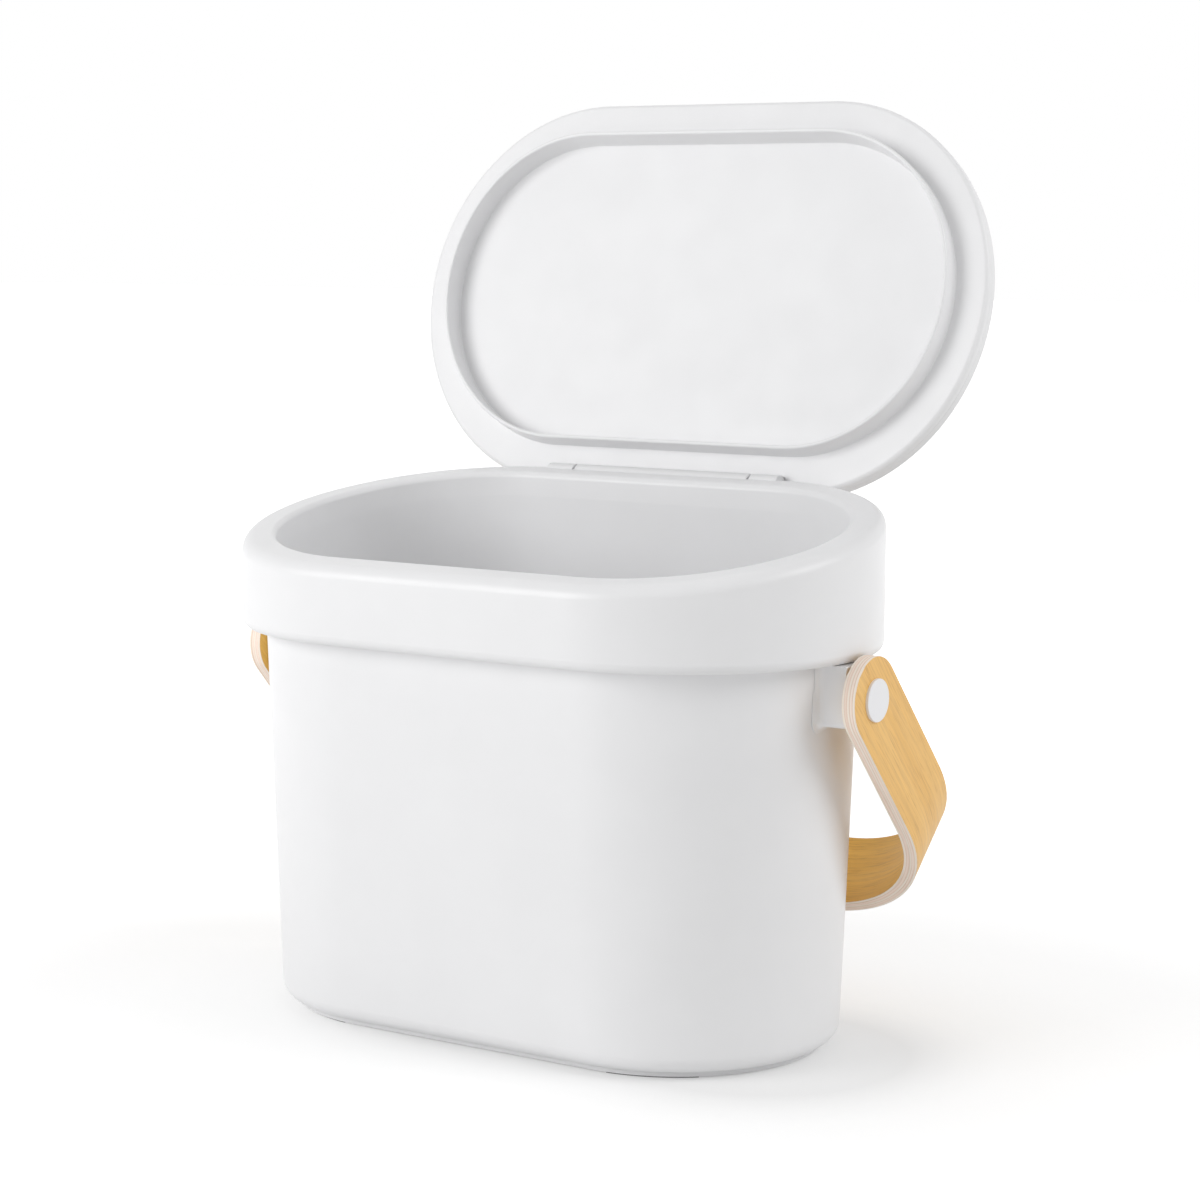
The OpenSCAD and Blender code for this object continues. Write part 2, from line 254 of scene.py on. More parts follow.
def polish(piece, crease=40):
    """Smooth shading that keeps flat faces flat and sharp edges sharp."""
    activate(piece)
    bpy.ops.object.shade_smooth_by_angle(angle=math.radians(crease))
    apply_modifier(piece, "WEIGHTED_NORMAL", keep_sharp=True, weight=60)


def off_by(piece, node):
    """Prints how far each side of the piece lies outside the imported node's, in millimetres."""
    corners = [piece.matrix_world @ vertex.co for vertex in piece.data.vertices]
    low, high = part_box(node)
    sides = [low[axis] - min(corner[axis] for corner in corners) for axis in range(3)]
    sides += [max(corner[axis] for corner in corners) - high[axis] for axis in range(3)]
    print(piece.name, len(piece.data.polygons), "faces, outside by",
          [round(side / MM, 2) for side in sides])


# %% [markdown]
# ## The bucket
# The bucket is one moulded shell with an even wall and a generous round along its foot, so that
# it wipes clean. Its outside and inside are traced as one section. The sloping top comes from
# a bisect, which trims all that stands above a plane, and the open rim is closed by a bridge.
# The foot ring is a small sweep of its own, joined by a boolean.

# %% Bucket shell
foot_show = 0.5 * MM
ring_height = 2 * MM
floor_thick = 2.6 * MM
base_round = 7 * MM
body_low = foot_show + ring_height
base_r = bucket_r(body_low)
uncut = collar_top + collar_r

bucket = trace("bucket_shell", rounded([
    (0, body_low),
    (base_r, body_low, base_round),
    (bucket_r(uncut), uncut),
    (bucket_r(uncut) - bucket_wall, uncut),
    (base_r - bucket_wall, body_low + floor_thick, base_round - bucket_wall),
    (0, body_low + floor_thick)]))
sweep(bucket, straight)

edit(bucket)
bpy.ops.mesh.select_all(action="SELECT")
bpy.ops.mesh.bisect(plane_co=(0, 0, rise(-crown_thick - hair)),
                    plane_no=(0, -math.sin(slope), math.cos(slope)), clear_outer=True)
pick(bucket, "EDGE", lambda edge: edge.is_boundary)
bpy.ops.mesh.bridge_edge_loops()
leave()

# %% Foot ring
ring_out = base_r - 6.5 * MM
ring_in = ring_out - 6 * MM
ring_high = body_low + floor_thick / 2
ring_round = 0.5 * MM

foot_ring = trace("foot_ring", rounded([
    (ring_in, ring_high),
    (ring_in, foot_show, ring_round),
    (ring_out, foot_show, ring_round),
    (ring_out, ring_high),
    (ring_in, ring_high)]))
sweep(foot_ring, straight)


def combine(piece, tool, how):
    """Joins or cuts piece with tool, which is used up."""
    apply_modifier(piece, "BOOLEAN", object=tool, operation=how, solver="EXACT")
    bpy.data.objects.remove(tool)


combine(bucket, foot_ring, "UNION")
polish(bucket)
off_by(bucket, "bucket")

# %% [markdown]
# ## Leaning a top
# The collar and the lid are easiest to trace with a level top. A lattice then leans them: its
# upper rows move up at the back and down at the front, and every corner of the mesh follows.
# The walls stay upright, as they do when a mould is cut on a slope. For the collar the lowest
# rows stay put, so that its lower edge stays level.

# %% Lean with a lattice
def lean(piece, low, high, rows, still):
    """Slopes all that lies above the height still, in a lattice box from low to high."""
    span = 4 * collar_r
    bpy.ops.object.select_all(action="DESELECT")
    bpy.ops.object.add(type="LATTICE", location=(0, 0, (low + high) / 2))
    cage = bpy.context.object
    cage.scale = (span, span, high - low)
    cage.data.points_w = rows
    for way in ("u", "v", "w"):
        setattr(cage.data, "interpolation_type_" + way, "KEY_LINEAR")
    for point in cage.data.points:  # a lattice point's height is -0.5 to 0.5 of its box
        height = low + (point.co.z + 0.5) * (high - low)
        if height > still:
            point.co_deform.z += point.co.y * span * math.tan(slope) / (high - low)
    apply_modifier(piece, "LATTICE", object=cage)
    bpy.data.objects.remove(cage)


# %% [markdown]
# ## The collar
# The collar is an inverted channel that drops over the bucket's edge. What the eye sees is its
# deep outer skirt with a large soft round on top, and a smaller round where the top turns down
# into the mouth. The inner wall runs down to the bucket's wall and ends thin, so that no scraps
# catch on it. Along the back it is thicker, for the pocket that the lid's knuckle turns in.

# %% Collar sizes
cage_margin = 5 * MM
hem_round = 4 * MM
crown_round = 5 * MM
mouth_round = 2.4 * MM
lip_bend = 8 * MM
lip_wall = 1.5 * MM
lip_edge = 0.25 * MM
lip_low = band_low + 5 * MM
lip_turn = collar_top - 10 * MM
lip_r = bucket_r(lip_low) - bucket_wall - 0.3 * MM
shelf_top = band_low + collar_wall
shelf_r = bucket_r(shelf_top) + hair
skirt_in = collar_r - collar_wall
crown_low = collar_top - crown_thick
print("lip from", round(lip_low / MM, 1), "to", round(lip_turn / MM, 1), "mm")

# %% Collar
collar = trace("collar_shell", rounded([
    (shelf_r, shelf_top),
    (shelf_r, band_low, 0.3 * MM),
    (collar_r, band_low, hem_round),
    (collar_r, collar_top, crown_round),
    (mouth_r, collar_top, mouth_round),
    (mouth_r, lip_turn, lip_bend),
    (lip_r, lip_low),
    (lip_r + lip_edge, lip_low),
    (mouth_r + lip_wall, lip_turn, 6 * MM),
    (mouth_r + lip_wall, crown_low),
    (skirt_in, crown_low, 2.4 * MM),
    (skirt_in, shelf_top, 1.6 * MM),
    (shelf_r, shelf_top)]))
sweep(collar, straight)
lean(collar, band_low - cage_margin, collar_top + cage_margin, rows=6, still=lip_low + 1 * MM)
print("collar", len(collar.data.polygons), "faces before the hinge")

# %% [markdown]
# ## The hinge
# Two ears on the collar and one long knuckle on the lid share a steel pin at each end. They are
# plain barrels on one line, so they are cylinders laid along the hinge, with their ends eased,
# and booleans fit them: a leaning block thickens the wall, the ears are joined on, and slightly
# larger barrels cut the pockets.

# %% Hinge barrels
knuckle_r = 4 * MM
knuckle_gap = 0.3 * MM
ear_length = 13 * MM
hinge_length = straight - 0.4 * MM
ear_ease = 0.4 * MM
pocket_length = hinge_length - 2 * ear_length


def barrel(name, radius, length, middle_x=0.0, ease=0.0):
    """A cylinder on the hinge line, centred at middle_x."""
    bpy.ops.object.select_all(action="DESELECT")
    bpy.ops.mesh.primitive_cylinder_add(vertices=64, radius=radius, depth=length,
                                        location=(middle_x, hinge.y, hinge.z),
                                        rotation=(0, math.pi / 2, 0))
    piece = bpy.context.object
    piece.name = name
    apply_place(piece)
    if ease:
        edit(piece)
        pick(piece, "EDGE", lambda edge: abs(edge.verts[0].co.x - edge.verts[1].co.x) < MERGE)
        bpy.ops.mesh.bevel(offset=ease, segments=3, affect="EDGES")
        leave()
    return piece


# %% Ears and pocket of the collar
lining_place = (0, collar_r - 3.9 * MM, hinge.z - 1.7 * MM)
lining_size = (hinge_length, 6.8 * MM, 7.6 * MM)
bpy.ops.object.select_all(action="DESELECT")
bpy.ops.mesh.primitive_cube_add(size=1, location=lining_place, scale=lining_size,
                                rotation=(slope, 0, 0))
lining_block = bpy.context.object
apply_place(lining_block)
combine(collar, lining_block, "UNION")
for side in (-1, 1):
    ear_x = side * (hinge_length - ear_length) / 2
    combine(collar, barrel("ear", knuckle_r, ear_length, ear_x, ear_ease), "UNION")
combine(collar, barrel("pocket", knuckle_r + knuckle_gap, pocket_length), "DIFFERENCE")
polish(collar)
off_by(collar, "rim_collar")

# %% [markdown]
# ## The lid's cover
# The cover is a shallow dish, upside down, with a round along its edge. It is traced shut and
# level, swept, leaned with the collar's slope, and only then swung open about the hinge, as a
# lid is easiest to fit while it is shut.

# %% Lid cover
back_over = 1.6 * MM
front_over = 1.2 * MM
lid_shift = (back_over - front_over) / 2
lid_r = collar_r + (back_over + front_over) / 2
lid_run = 2 * half_length - 2 * lid_r
lid_gap = 0.3 * MM
lid_thick = 8.9 * MM
lid_top = rise(lid_gap + lid_thick)
lid_round = 3.5 * MM
lid_cage = (rise(-12 * MM), rise(12 * MM))
cover_wall = 2.2 * MM
flange_top = rise(lid_gap + 3.2 * MM)

cover = trace("lid_cover", rounded([
    (0, lid_top),
    (lid_r, lid_top, lid_round),
    (lid_r, flange_top, 0.25 * MM),
    (lid_r - cover_wall, flange_top),
    (lid_r - cover_wall, lid_top - cover_wall, 1.3 * MM),
    (0, lid_top - cover_wall)]))
sweep(cover, lid_run, lid_shift)
lean(cover, *lid_cage, rows=2, still=0)


def swing(piece, angle, about):
    """Turns a piece about a line along X through a point."""
    activate(piece)
    bpy.ops.transform.rotate(value=angle, orient_axis="X", center_override=about)
    apply_place(piece)


swing(cover, lid_open, hinge)
polish(cover)
off_by(cover, "lid_shell")

# %% [markdown]
# ## The lid's inner panel
# The underside shows when the lid stands open: a flat flange, a raised ring that plugs the
# mouth, and a floor that is sunk inside the ring. All of it is one section, swept round the
# mouth's track. The lid's own track is a little shorter and wider, so afterwards the corners
# along the flange's edge are picked, half by half, and moved out to it.

# %% Lid inner panel
plug_r = mouth_r - 0.5 * MM
plug_in = plug_r - 1.6 * MM
plug_tip = rise(lid_gap - 8.5 * MM)
plug_round = 0.7 * MM
flange_round = 1.8 * MM
pan_floor = rise(lid_gap + 1.5 * MM)
flange_low = rise(lid_gap)
pan_back = pan_floor + 2.2 * MM

panel = trace("lid_panel", rounded([
    (0, pan_floor),
    (plug_in, pan_floor, 0.5 * MM),
    (plug_in, plug_tip, plug_round),
    (plug_r, plug_tip, plug_round),
    (plug_r, flange_low, 0.4 * MM),
    (lid_r, flange_low, flange_round),
    (lid_r, flange_top, 0.15 * MM),
    (plug_r, flange_top),
    (plug_r, pan_back),
    (0, pan_back)]))
sweep(panel, straight)
print("panel", len(panel.data.polygons), "faces on the mouth's track")

# %% Fit the panel to the lid and the hinge
flange_edge = lid_r - 4 * MM
knuckle_length = pocket_length - 2 * knuckle_gap - MM
knuckle_ease = 0.6 * MM
ear_pocket_r = knuckle_r + 0.8 * MM


def out_of(place):
    """How far a place lies out from the middle line of the mouth's track."""
    return math.hypot(max(abs(place.x) - straight / 2, 0), place.y)


edit(panel)
for side in (-1, 1):
    pick(panel, "VERT",
         lambda corner: corner.co.x * side > 0 and out_of(corner.co) > flange_edge)
    bpy.ops.transform.translate(value=(side * (lid_run - straight) / 2, lid_shift, 0))
leave()
lean(panel, *lid_cage, rows=2, still=0)
combine(panel, barrel("knuckle", knuckle_r, knuckle_length, 0, knuckle_ease), "UNION")
for side in (-1, 1):
    ear_x = side * (pocket_length + ear_length) / 2
    ear_pocket = barrel("ear_pocket", ear_pocket_r, ear_length + 2 * knuckle_gap, ear_x)
    combine(panel, ear_pocket, "DIFFERENCE")
swing(panel, lid_open, hinge)
polish(panel)
off_by(panel, "lid_inner_panel")

# %% [markdown]
# ## The blocks that carry the handle
# A block stands out from each end of the bucket, just under the collar. It starts as a cube at
# its size. Its lower edges get a round and its outer edges an easing. Near the wall it is cut
# into thin slices, whose corners are pushed outwards the nearer they are to the wall, which
# gives the hollow fillet that a mould needs there. The bucket's own form is cut from its back,
# so that it sits on the curved wall. The left one is the right one turned half a turn.

# %% Handle blocks
strap_in = half_length + 2.1 * MM
ply = 1.1 * MM
plies = 5
strap_out = strap_in + plies * ply
block_face = strap_in - 1.1 * MM
block_low = pivot.z - 10.2 * MM
block_high = band_low - hair
block_half = 10.8 * MM
block_round = 2 * MM
block_ease = 0.5 * MM

bpy.ops.object.select_all(action="DESELECT")
bpy.ops.mesh.primitive_cube_add(
    size=1,
    location=((straight / 2 + block_face) / 2, 0, (block_low + block_high) / 2),
    scale=(block_face - straight / 2, 2 * block_half, block_high - block_low))
block = bpy.context.object
block.name = "handle_block_right"
apply_place(block)
edit(block)
pick(block, "EDGE", lambda edge: abs(edge.verts[0].co.x - edge.verts[1].co.x) > MM
     and middle(edge).z < pivot.z)
bpy.ops.mesh.bevel(offset=block_round, segments=8, affect="EDGES")
pick(block, "EDGE",
     lambda edge: min(edge.verts[0].co.x, edge.verts[1].co.x) > block_face - MERGE)
bpy.ops.mesh.bevel(offset=block_ease, segments=4, affect="EDGES")
leave()
print("block stands out to", round(block_face / MM, 1), "mm")

# %% Fillet to the wall
fillet = 3 * MM
slices = 16
slice_step = 0.4 * MM
first_slice = straight / 2 + bucket_r(block_low) - 2 * MM
least_sideways = 0.1  # a corner that faces straight out along the block stays


def wall_gap(place):
    """How far a place is from the bucket's wall."""
    return out_of(place) - bucket_r(place.z)


edit(block)
for step in range(slices):
    bpy.ops.mesh.select_all(action="SELECT")
    bpy.ops.mesh.bisect(plane_co=(first_slice + step * slice_step, 0, 0), plane_no=(1, 0, 0))
mesh = bmesh.from_edit_mesh(block.data)
moves = {}
for corner in mesh.verts:
    near = min(max(1 - wall_gap(corner.co) / fillet, 0), 1)
    away = Vector((0, corner.normal.y, corner.normal.z))
    if corner.co.z > block_high - MERGE:
        away.z = 0
    if near and away.length > least_sideways:
        moves[corner] = away.normalized() * fillet * (1 - math.sqrt(1 - near ** 2))
for corner, move in moves.items():
    corner.co += move
bmesh.update_edit_mesh(block.data)
leave()
print("fillet moved", len(moves), "corners")

# %% Cut the bucket's form from the block
form_high = band_low + MM
bucket_form = trace("bucket_form", rounded([
    (0, 0), (bucket_r(0) + hair, 0), (bucket_r(form_high) + hair, form_high), (0, form_high)]))
sweep(bucket_form, straight)
combine(block, bucket_form, "DIFFERENCE")
polish(block)
off_by(block, "handle_boss_right")


def half_turn(piece, name):
    """A copy at the other end of the caddy."""
    other = copy_of(piece, name)
    bpy.ops.transform.rotate(value=math.pi, orient_axis="Z", center_override=(0, 0, 0))
    apply_place(other)
    return other


left_block = half_turn(block, "handle_block_left")
off_by(left_block, "handle_boss_left")

# %% [markdown]
# ## The caps
# A round cap covers each pin and stands a little proud of the outer sheet of wood. It is a
# cylinder whose rim gets a soft round, and whose face is inset and sunk a hair, as a moulding
# is where it shrinks while it cools.

# %% Caps
cap_r = 8.1 * MM
cap_proud = 1.1 * MM
cap_high = strap_out + cap_proud
cap_low = strap_out - ply + 0.3 * MM
cap_rim = 0.35 * MM
face_rim = 4 * MM
face_sunk = 0.1 * MM

bpy.ops.object.select_all(action="DESELECT")
bpy.ops.mesh.primitive_cylinder_add(vertices=96, radius=cap_r, depth=cap_high - cap_low,
                                    location=((cap_high + cap_low) / 2, 0, pivot.z),
                                    rotation=(0, math.pi / 2, 0))
cap = bpy.context.object
cap.name = "cap_right"
apply_place(cap)
edit(cap)
pick(cap, "EDGE", lambda edge: min(edge.verts[0].co.x, edge.verts[1].co.x) > strap_out)
bpy.ops.mesh.bevel(offset=cap_rim, segments=5, affect="EDGES")
pick(cap, "FACE", lambda face: face.normal.x > FACING and len(face.verts) > 8)
bpy.ops.mesh.inset(thickness=face_rim)
bpy.ops.transform.translate(value=(-face_sunk, 0, 0))
leave()
polish(cap)
off_by(cap, "pivot_cap_right")
left_cap = half_turn(cap, "cap_left")

# %% [markdown]
# ## The bent wooden strap
# The handle is five thin sheets of wood, glued together and bent in a press. A sheet is easiest
# to make as it is before bending, flat and straight: its section is extruded along its length
# in short steps, and in its round ends each step is also drawn in. The sheet is copied five
# times through the thickness, given its grain while it lies flat, and bent by a Curve modifier
# along the handle's outline, so that the grain runs round the bends as real veneer does.

# %% One flat sheet
strap_half = 16.3 * MM
bend = 62 * MM
reach = 120 * MM
arm = reach - bend
crossbar_half = strap_out - bend
pin_gap = 2 * (arm + bend * math.pi / 2 + crossbar_half)
END_STEPS = 14
STRAP_STEP = 4 * MM


def stations():
    """Along the sheet: (place, share of the full width) of each section, from end to end."""
    ends = [math.radians(90) * step / END_STEPS for step in range(1, END_STEPS)]
    start = [(strap_half * (1 - math.cos(angle)), math.sin(angle)) for angle in ends]
    runs = math.ceil(pin_gap / STRAP_STEP)
    body = [(strap_half + pin_gap * step / runs, 1.0) for step in range(runs + 1)]
    length = pin_gap + 2 * strap_half
    finish = [(length - place, share) for place, share in reversed(start)]
    return start + body + finish


# %% Extrude the sheet from station to station
marks = stations()
first_place, first_share = marks[0]
first_middle = (first_place, ply / 2, 0)
bpy.ops.object.select_all(action="DESELECT")
bpy.ops.mesh.primitive_plane_add(size=2 * strap_half, location=first_middle,
                                 rotation=(0, math.pi / 2, 0))
sheet = bpy.context.object
apply_place(sheet)
edit(sheet)
bpy.ops.mesh.select_all(action="SELECT")
bpy.ops.transform.resize(value=(1, ply / (2 * strap_half), 1), center_override=first_middle)
bpy.ops.transform.resize(value=(1, 1, first_share), center_override=first_middle)
for (place, share), (next_place, next_share) in zip(marks, marks[1:]):
    step = (next_place - place, 0, 0)
    bpy.ops.mesh.extrude_region_move(TRANSFORM_OT_translate={"value": step})
    if next_share != share:
        bpy.ops.transform.resize(value=(1, 1, next_share / share),
                                 center_override=(next_place, ply / 2, 0))
bpy.ops.mesh.select_all(action="SELECT")
bpy.ops.mesh.normals_make_consistent(inside=False)
leave()
print("sheet", len(sheet.data.polygons), "faces", round(marks[-1][0] / MM, 1), "mm long")

# %% Ease the sheet's edges and write its grain
face_ease = 0.3 * MM
seam_ease = 0.04 * MM
sharp = 0.5  # radians between two faces


def ease_outline(piece, depth, width):
    """Rounds the edge that runs round one face of the sheet, at a depth through the strap."""
    edit(piece)
    pick(piece, "EDGE", lambda edge: all(abs(end.co.y - depth) < MERGE for end in edge.verts)
         and edge.calc_face_angle(0) > sharp)
    bpy.ops.mesh.bevel(offset=width, segments=3, affect="EDGES")
    leave()


def lay_grain(piece):
    """Rewrites the plane's UV map in metres: along the sheet, and across or through it."""
    grain = piece.data.uv_layers.active
    grain.name = "grain"
    for face in piece.data.polygons:
        flat = abs(face.normal.y) > FACING
        face.material_index = 0 if flat else 1
        for corner in face.loop_indices:
            place = piece.data.vertices[piece.data.loops[corner].vertex_index].co
            grain.data[corner].uv = (place.x, place.z if flat else place.y)


# %% The handle's outline
QUARTER_ROUND = 0.5523  # how long a Bezier handle is, per radius, for a quarter of a circle


def outline_curve():
    """The handle's outer face, seen from the front, with its pins at height 0."""
    bow = bend * QUARTER_ROUND
    corners = [(-strap_out, strap_half), (-strap_out, -arm), (-crossbar_half, -reach),
               (crossbar_half, -reach), (strap_out, -arm), (strap_out, strap_half)]
    bpy.ops.object.select_all(action="DESELECT")
    bpy.ops.curve.primitive_bezier_curve_add(location=(0, 0, 0))
    curve = bpy.context.object
    curve.data.dimensions = "2D"
    curve.data.resolution_u = 64
    knots = curve.data.splines[0].bezier_points
    knots.add(len(corners) - len(knots))
    for knot, corner in zip(knots, corners):
        knot.handle_left_type = knot.handle_right_type = "FREE"
        knot.co = knot.handle_left = knot.handle_right = (*corner, 0)
    for start, end, side in ((knots[1], knots[2], -1), (knots[4], knots[3], 1)):
        down = (side * strap_out, -arm - bow, 0)
        across = (side * (crossbar_half + bow), -reach, 0)
        if side < 0:
            start.handle_right, end.handle_left = down, across
        else:
            start.handle_left, end.handle_right = down, across
    return curve


strap_path = outline_curve()
print("outline", round(2 * strap_out / MM, 1), "mm wide,", round(reach / MM, 1), "mm deep")

# %% How far back the handle hangs
# The handle swings back until the inner edge of its crossbar all but leans on the back wall,
# which itself leans by the draft.
rest_gap = 0.3 * MM
rest_reach = (bucket_r(pivot.z) + rest_gap) * math.cos(draft)
bar_reach = reach - plies * ply
hang = (math.asin(rest_reach / math.hypot(bar_reach, strap_half)) - draft
        + math.atan2(strap_half, bar_reach))
print("hangs", round(math.degrees(hang), 1), "degrees back from straight down")

# %% Bend the five sheets
sheet_nodes = ["handle_face_outer", "handle_core_1", "handle_core_2", "handle_core_3",
               "handle_face_inner"]
sheets = []
for index, node in enumerate(sheet_nodes):
    ply_sheet = copy_of(sheet, "veneer_" + str(index + 1))
    bpy.ops.transform.translate(value=(0, index * ply, 0))
    apply_place(ply_sheet)
    for side in (index, index + 1):
        ease_outline(ply_sheet, side * ply, face_ease if side in (0, plies) else seam_ease)
    lay_grain(ply_sheet)
    apply_modifier(ply_sheet, "CURVE", object=strap_path, deform_axis="POS_X")
    bpy.ops.transform.rotate(value=-math.pi / 2, orient_axis="X", center_override=(0, 0, 0))
    bpy.ops.transform.translate(value=pivot)
    apply_place(ply_sheet)
    swing(ply_sheet, -hang, pivot)
    polish(ply_sheet, 60)
    off_by(ply_sheet, node)
    sheets.append(ply_sheet)
bpy.data.objects.remove(strap_path)
bpy.data.objects.remove(sheet)

# %% [markdown]
# ## What moves with what
# The real caddy is three bodies: the bin itself stands still, the lid turns on its hinge and
# the handle on its two pins. Pieces could be parented by hand, but here one short function says
# of each piece which body carries it and which imported piece it stands for, and hides that one.

# %% Put each piece on its body
def settle(piece, body, node):
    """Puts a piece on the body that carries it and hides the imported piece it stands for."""
    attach(piece, body)
    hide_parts(node)
    print(piece.name, "rides on", body, "and stands for", node)


settle(bucket, "caddy", "bucket")
settle(collar, "caddy", "rim_collar")
settle(cover, "lid", "lid_shell")
settle(panel, "lid", "lid_inner_panel")
settle(block, "caddy", "handle_boss_right")
settle(left_block, "caddy", "handle_boss_left")
settle(cap, "caddy", "pivot_cap_right")
settle(left_cap, "caddy", "pivot_cap_left")
for index, (ply_sheet, node) in enumerate(zip(sheets, sheet_nodes)):
    settle(ply_sheet, "handle", node)

# %% [markdown]
# ## Finishes
# A finish is a small tree of nodes. What is the same all over is typed into the shader; what
# varies comes from noise, which reads the piece's own coordinates in metres, so that its scale
# is a real one and it stays on the piece when the lid or the handle turns. A node tree could be
# wired by hand in the shader editor. These helpers add the few kinds of node that the finishes
# below need, so that each finish reads as a short recipe.

# %% Helpers for finishes
def paint(red, green, blue):
    """A colour from a paint chart, 0 to 255, as the shader wants it."""
    parts = [part / 255 for part in (red, green, blue)]
    return [part / 12.92 if part < 0.04 else ((part + 0.055) / 1.055) ** 2.4
            for part in parts] + [1.0]


def new_finish(name, **values):
    """A new material and its shader, with the even values typed in: Coat_Weight=0.1."""
    material = bpy.data.materials.new(name)
    material.use_nodes = True
    shader = material.node_tree.nodes["Principled BSDF"]
    for socket, value in values.items():
        shader.inputs[socket.replace("_", " ")].default_value = value
    print("finish", name)
    return material, shader


def add_node(material, kind, inputs, **settings):
    """Adds a node. Inputs are values or other nodes' sockets, settings are its menus."""
    node = material.node_tree.nodes.new("ShaderNode" + kind)
    for name, value in settings.items():
        setattr(node, name, value)
    for name, value in inputs.items():
        connect(material, value, node.inputs[name])
    return node


def connect(material, value, socket):
    """Wires another node's socket to this one, or types a plain value into it."""
    if isinstance(value, bpy.types.NodeSocket):
        material.node_tree.links.new(value, socket)
    else:
        socket.default_value = value


def noise(material, source, stretch, detail, rough, offset=(0, 0, 0)):
    """Noise from 0 to 1. Stretch is how many lumps there are per metre each way."""
    where = add_node(material, "TexCoord", {})
    placed = add_node(material, "Mapping", {"Vector": where.outputs[source], "Scale": stretch,
                                            "Location": offset})
    return add_node(material, "TexNoise", {"Vector": placed.outputs["Vector"], "Scale": 1.0,
                                           "Detail": detail, "Roughness": rough}).outputs["Fac"]


def ramp(material, amount, *stops):
    """A colour for each amount, blended between stops of (amount, colour)."""
    node = add_node(material, "ValToRGB", {"Fac": amount})
    while len(node.color_ramp.elements) < len(stops):
        node.color_ramp.elements.new(0.5)
    for element, (place, colour) in zip(node.color_ramp.elements, stops):
        element.position = place
        element.color = colour
    return node.outputs["Color"]


def spread(material, amount, low, high, start=0.3, end=0.7):
    """Maps noise to the range from low to high."""
    return add_node(material, "MapRange", {"Value": amount, "From Min": start, "From Max": end,
                                           "To Min": low, "To Max": high}).outputs["Result"]


def maths(material, how, first, second=0.0):
    """One step of arithmetic, such as ADD or MAXIMUM."""
    return add_node(material, "Math", {0: first, 1: second}, operation=how).outputs[0]


def multiply(material, first, second):
    """One colour darkened by another."""
    mixed = add_node(material, "Mix", {"Factor": 1.0, 6: first, 7: second}, data_type="RGBA",
                     blend_type="MULTIPLY")
    return mixed.outputs[2]


def split_place(material, source):
    """The three numbers of a place on the piece, taken apart."""
    where = add_node(material, "TexCoord", {})
    return add_node(material, "SeparateXYZ", {0: where.outputs[source]}).outputs


def relief(material, shader, height, distance):
    """Small hills in the shading, distance high in metres."""
    bump = add_node(material, "Bump", {"Height": height, "Distance": distance,
                                       "Strength": 1.0})
    connect(material, bump.outputs["Normal"], shader.inputs["Normal"])


# %% [markdown]
# ## Moulded plastic
# The bucket, collar and lid are one white plastic with a satin skin. One flat white would look
# like paper, and a picture of plastic would show where it repeats. So the finish is made of
# noise: clouds that shift the tone by a few parts in a hundred, patches in the gloss, and the
# fine spark texture of a mould as a very small relief. The lid's top is duller, so that it
# keeps its shape against the light, and the caps are smoother.

# %% Plastics
CLOUDS = (22, 22, 22)  # lumps per metre
PATCHES = (60, 60, 60)
SPARKS = (2400, 2400, 2400)


def plastic(name, tone, dullness, grain, offset):
    """Dullness is the plastic's roughness, and grain the height of its skin in metres."""
    material, shader = new_finish(name, IOR=1.48)
    clouds = noise(material, "Object", CLOUDS, 3, 0.6, offset)
    dark, light = ([part * share for part in tone[:3]] + [1.0] for share in (0.985, 1.01))
    connect(material, ramp(material, clouds, (0.3, dark), (0.7, light)),
            shader.inputs["Base Color"])
    patches = noise(material, "Object", PATCHES, 4, 0.6, offset)
    connect(material, spread(material, patches, dullness - 0.04, dullness + 0.05),
            shader.inputs["Roughness"])
    skin = noise(material, "Object", SPARKS, 2, 0.5, offset)
    relief(material, shader, skin, grain)
    return material


white = paint(237, 237, 238)
spark_height = 0.012 * MM
white_body = plastic("white_body", white, 0.36, spark_height, (0, 0, 0))
white_lid = plastic("white_lid", white, 0.36, spark_height, (3, 1, 2))
white_cover = plastic("white_cover", white, 0.5, spark_height, (3, 1, 2))
white_cap = plastic("white_cap", paint(238, 238, 240), 0.32, 0.003 * MM, (5, 5, 1))
pale_nylon = plastic("pale_nylon", paint(226, 224, 216), 0.45, 0.01 * MM, (2, 7, 4))

# %% [markdown]
# ## Steel and rubber
# The pins are cut from drawn rod and the pads under the caddy are pressed from dark rubber.
# Both could be modelled anew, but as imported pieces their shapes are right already, so they only
# need a finish: for steel a noise that is long along the pin and very fine across it, and for
# rubber a dull, dusty, even one. The nylon washers take the plastic above.

# %% Steel and rubber
brushed_steel, shader = new_finish("brushed_steel", Metallic=1.0)
brushing = noise(brushed_steel, "Object", (40, 1800, 1800), 3, 0.6)
steel_tones = ramp(brushed_steel, brushing, (0.3, paint(176, 176, 178)),
                   (0.7, paint(206, 206, 208)))
connect(brushed_steel, steel_tones, shader.inputs["Base Color"])
connect(brushed_steel, spread(brushed_steel, brushing, 0.24, 0.4), shader.inputs["Roughness"])
relief(brushed_steel, shader, brushing, 0.01 * MM)

grey_rubber, shader = new_finish("grey_rubber")
dust = noise(grey_rubber, "Object", (300, 300, 300), 4, 0.7)
rubber_tones = ramp(grey_rubber, dust, (0.3, paint(58, 58, 60)), (0.7, paint(84, 84, 85)))
connect(grey_rubber, rubber_tones, shader.inputs["Base Color"])
connect(grey_rubber, spread(grey_rubber, dust, 0.6, 0.85), shader.inputs["Roughness"])
relief(grey_rubber, shader, dust, 0.05 * MM)

